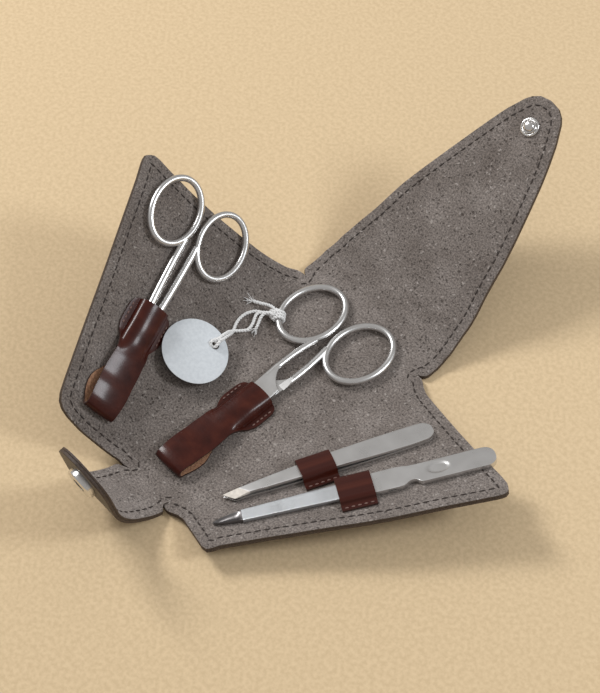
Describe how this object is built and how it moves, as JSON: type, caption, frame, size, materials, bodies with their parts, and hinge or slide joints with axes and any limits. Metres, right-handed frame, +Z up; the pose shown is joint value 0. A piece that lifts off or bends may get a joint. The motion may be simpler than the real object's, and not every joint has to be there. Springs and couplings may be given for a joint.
{
  "type": "manicure set case",
  "caption": "Suede-lined leather manicure case, unfolded, with sheathed scissors, tweezers and a nail file; two wings, a snap tab and a long flap fold it shut.",
  "frame": {"origin": "centre of the middle panel on its underside, on the table", "axes": "+Y from the snap tab towards the pointed flap, +X towards the wing with the tweezers and the file, +Z up out of the suede lining"},
  "size_m": [0.1634, 0.2085, 0.0518],
  "materials": {
    "hide": "smooth dark brown outer hide",
    "suede": "grey-brown pigskin suede with follicle dots",
    "strap_leather": "glossy burgundy-brown leather",
    "snap_metal": "satin plated metal",
    "steel": "satin stainless steel",
    "file_grit": "fine sparkling abrasive on steel",
    "tag_card": "silver-grey coated card with a pale bevelled rim",
    "string": "twisted white cotton"
  },
  "bodies": {
    "middle": {"middle_hide": "hide", "middle_lining": "suede", "middle_sheath": "strap_leather"},
    "left_spine": {"left_spine_hide": "hide", "left_spine_lining": "suede"},
    "left_wing": {"left_wing_hide": "hide", "left_wing_lining": "suede", "left_sheath": "strap_leather"},
    "right_spine": {"right_spine_hide": "hide", "right_spine_lining": "suede"},
    "right_wing": {"right_wing_hide": "hide", "right_wing_lining": "suede", "tweezer_band": "strap_leather", "file_band": "strap_leather"},
    "flap_spine": {"flap_spine_hide": "hide", "flap_spine_lining": "suede"},
    "flap": {"flap_hide": "hide", "flap_lining": "suede", "snap_stud": "snap_metal", "flap_snap_cap": "snap_metal"},
    "tab_riser": {"tab_riser_hide": "hide", "tab_riser_lining": "suede"},
    "tab": {"tab_hide": "hide", "tab_lining": "suede", "snap_socket": "snap_metal", "tab_snap_cap": "snap_metal"},
    "nail_scissors": {"nail_scissors_upper": "steel", "nail_scissors_screw": "steel", "hang_tag": "tag_card", "tag_string": "string"},
    "nail_scissors_open": {"nail_scissors_lower": "steel"},
    "cuticle_scissors": {"cuticle_scissors_lower": "steel", "cuticle_scissors_screw": "steel"},
    "cuticle_scissors_open": {"cuticle_scissors_upper": "steel"},
    "tweezers": {"tweezers_lower_arm": "steel"},
    "tweezers_arm": {"tweezers_upper_arm": "steel"},
    "nail_file": {"file_blade": "file_grit", "file_handle": "steel"}
  },
  "joints": [
    {"name": "left_fold_1", "type": "hinge", "parent": "middle", "child": "left_spine", "pos_m": [-0.0076, -0.04692, 0.0019], "axis": [0.2102, -0.9777, 0], "range_deg": [-67.5, 22.5], "deforming": ["hang_tag", "tag_string"]},
    {"name": "left_fold_2", "type": "hinge", "parent": "left_spine", "child": "left_wing", "pos_m": [-0.02097, -0.0498, 0.00756], "axis": [0.2102, -0.9777, 0], "range_deg": [-67.5, 22.5]},
    {"name": "right_fold_1", "type": "hinge", "parent": "middle", "child": "right_spine", "pos_m": [0.00976, -0.04735, 0.0019], "axis": [0.1922, 0.9814, 0], "range_deg": [-81.5, 8.5]},
    {"name": "right_fold_2", "type": "hinge", "parent": "right_spine", "child": "right_wing", "pos_m": [0.01792, -0.04894, 0.00314], "axis": [0.1922, 0.9814, 0], "range_deg": [-81.5, 8.5]},
    {"name": "flap_fold_1", "type": "hinge", "parent": "middle", "child": "flap_spine", "pos_m": [0, 0.0555, 0.0019], "axis": [-1, 0, 0], "range_deg": [-72, 16.5]},
    {"name": "flap_fold_2", "type": "hinge", "parent": "flap_spine", "child": "flap", "pos_m": [0, 0.0769, 0.00885], "axis": [-1, 0, 0], "range_deg": [-72, 16.5]},
    {"name": "tab_fold_1", "type": "hinge", "parent": "middle", "child": "tab_riser", "pos_m": [0, -0.05, 0.0019], "axis": [1, 0, 0], "range_deg": [-50, 35]},
    {"name": "tab_fold_2", "type": "hinge", "parent": "tab_riser", "child": "tab", "pos_m": [0, -0.06371, 0.01341], "axis": [1, 0, 0], "range_deg": [-50, 35]},
    {"name": "nail_scissors_draw", "type": "slide", "parent": "middle", "child": "nail_scissors", "axis": [-0.0247, 0.8826, 0.4695], "range_m": [0, 0.048], "deforming": ["middle_sheath"]},
    {"name": "nail_scissors_pivot", "type": "hinge", "parent": "nail_scissors", "child": "nail_scissors_open", "pos_m": [-0.00065, -0.00571, 0.0019], "axis": [0, 0, -1], "range_deg": [0, 4.5]},
    {"name": "cuticle_scissors_draw", "type": "slide", "parent": "left_wing", "child": "cuticle_scissors", "axis": [-0.3777, 0.9086, 0.1782], "range_m": [0, 0.048], "deforming": ["left_sheath"]},
    {"name": "cuticle_scissors_pivot", "type": "hinge", "parent": "cuticle_scissors", "child": "cuticle_scissors_open", "pos_m": [-0.03893, -0.01647, 0.01811], "axis": [0.6913, 0.1486, 0.7071], "range_deg": [0, 6]},
    {"name": "tweezers_draw", "type": "slide", "parent": "right_wing", "child": "tweezers", "axis": [0.3846, 0.921, 0.0613], "range_m": [0, 0.042]},
    {"name": "tweezers_pinch", "type": "hinge", "parent": "tweezers", "child": "tweezers_arm", "pos_m": [0.05049, 0.03353, 0.00922], "axis": [-0.8773, 0.3854, -0.2859], "range_deg": [-0.35, 0], "stiffness_Nm_per_rad": 2},
    {"name": "file_draw", "type": "slide", "parent": "right_wing", "child": "nail_file", "axis": [0.493, 0.8646, 0.0971], "range_m": [0, 0.055]}
  ],
  "couplings": [
    {"joint": "left_fold_2", "follows": "left_fold_1", "ratio": 1},
    {"joint": "right_fold_2", "follows": "right_fold_1", "ratio": 1},
    {"joint": "flap_fold_2", "follows": "flap_fold_1", "ratio": 1},
    {"joint": "tab_fold_2", "follows": "tab_fold_1", "ratio": 1}
  ]
}
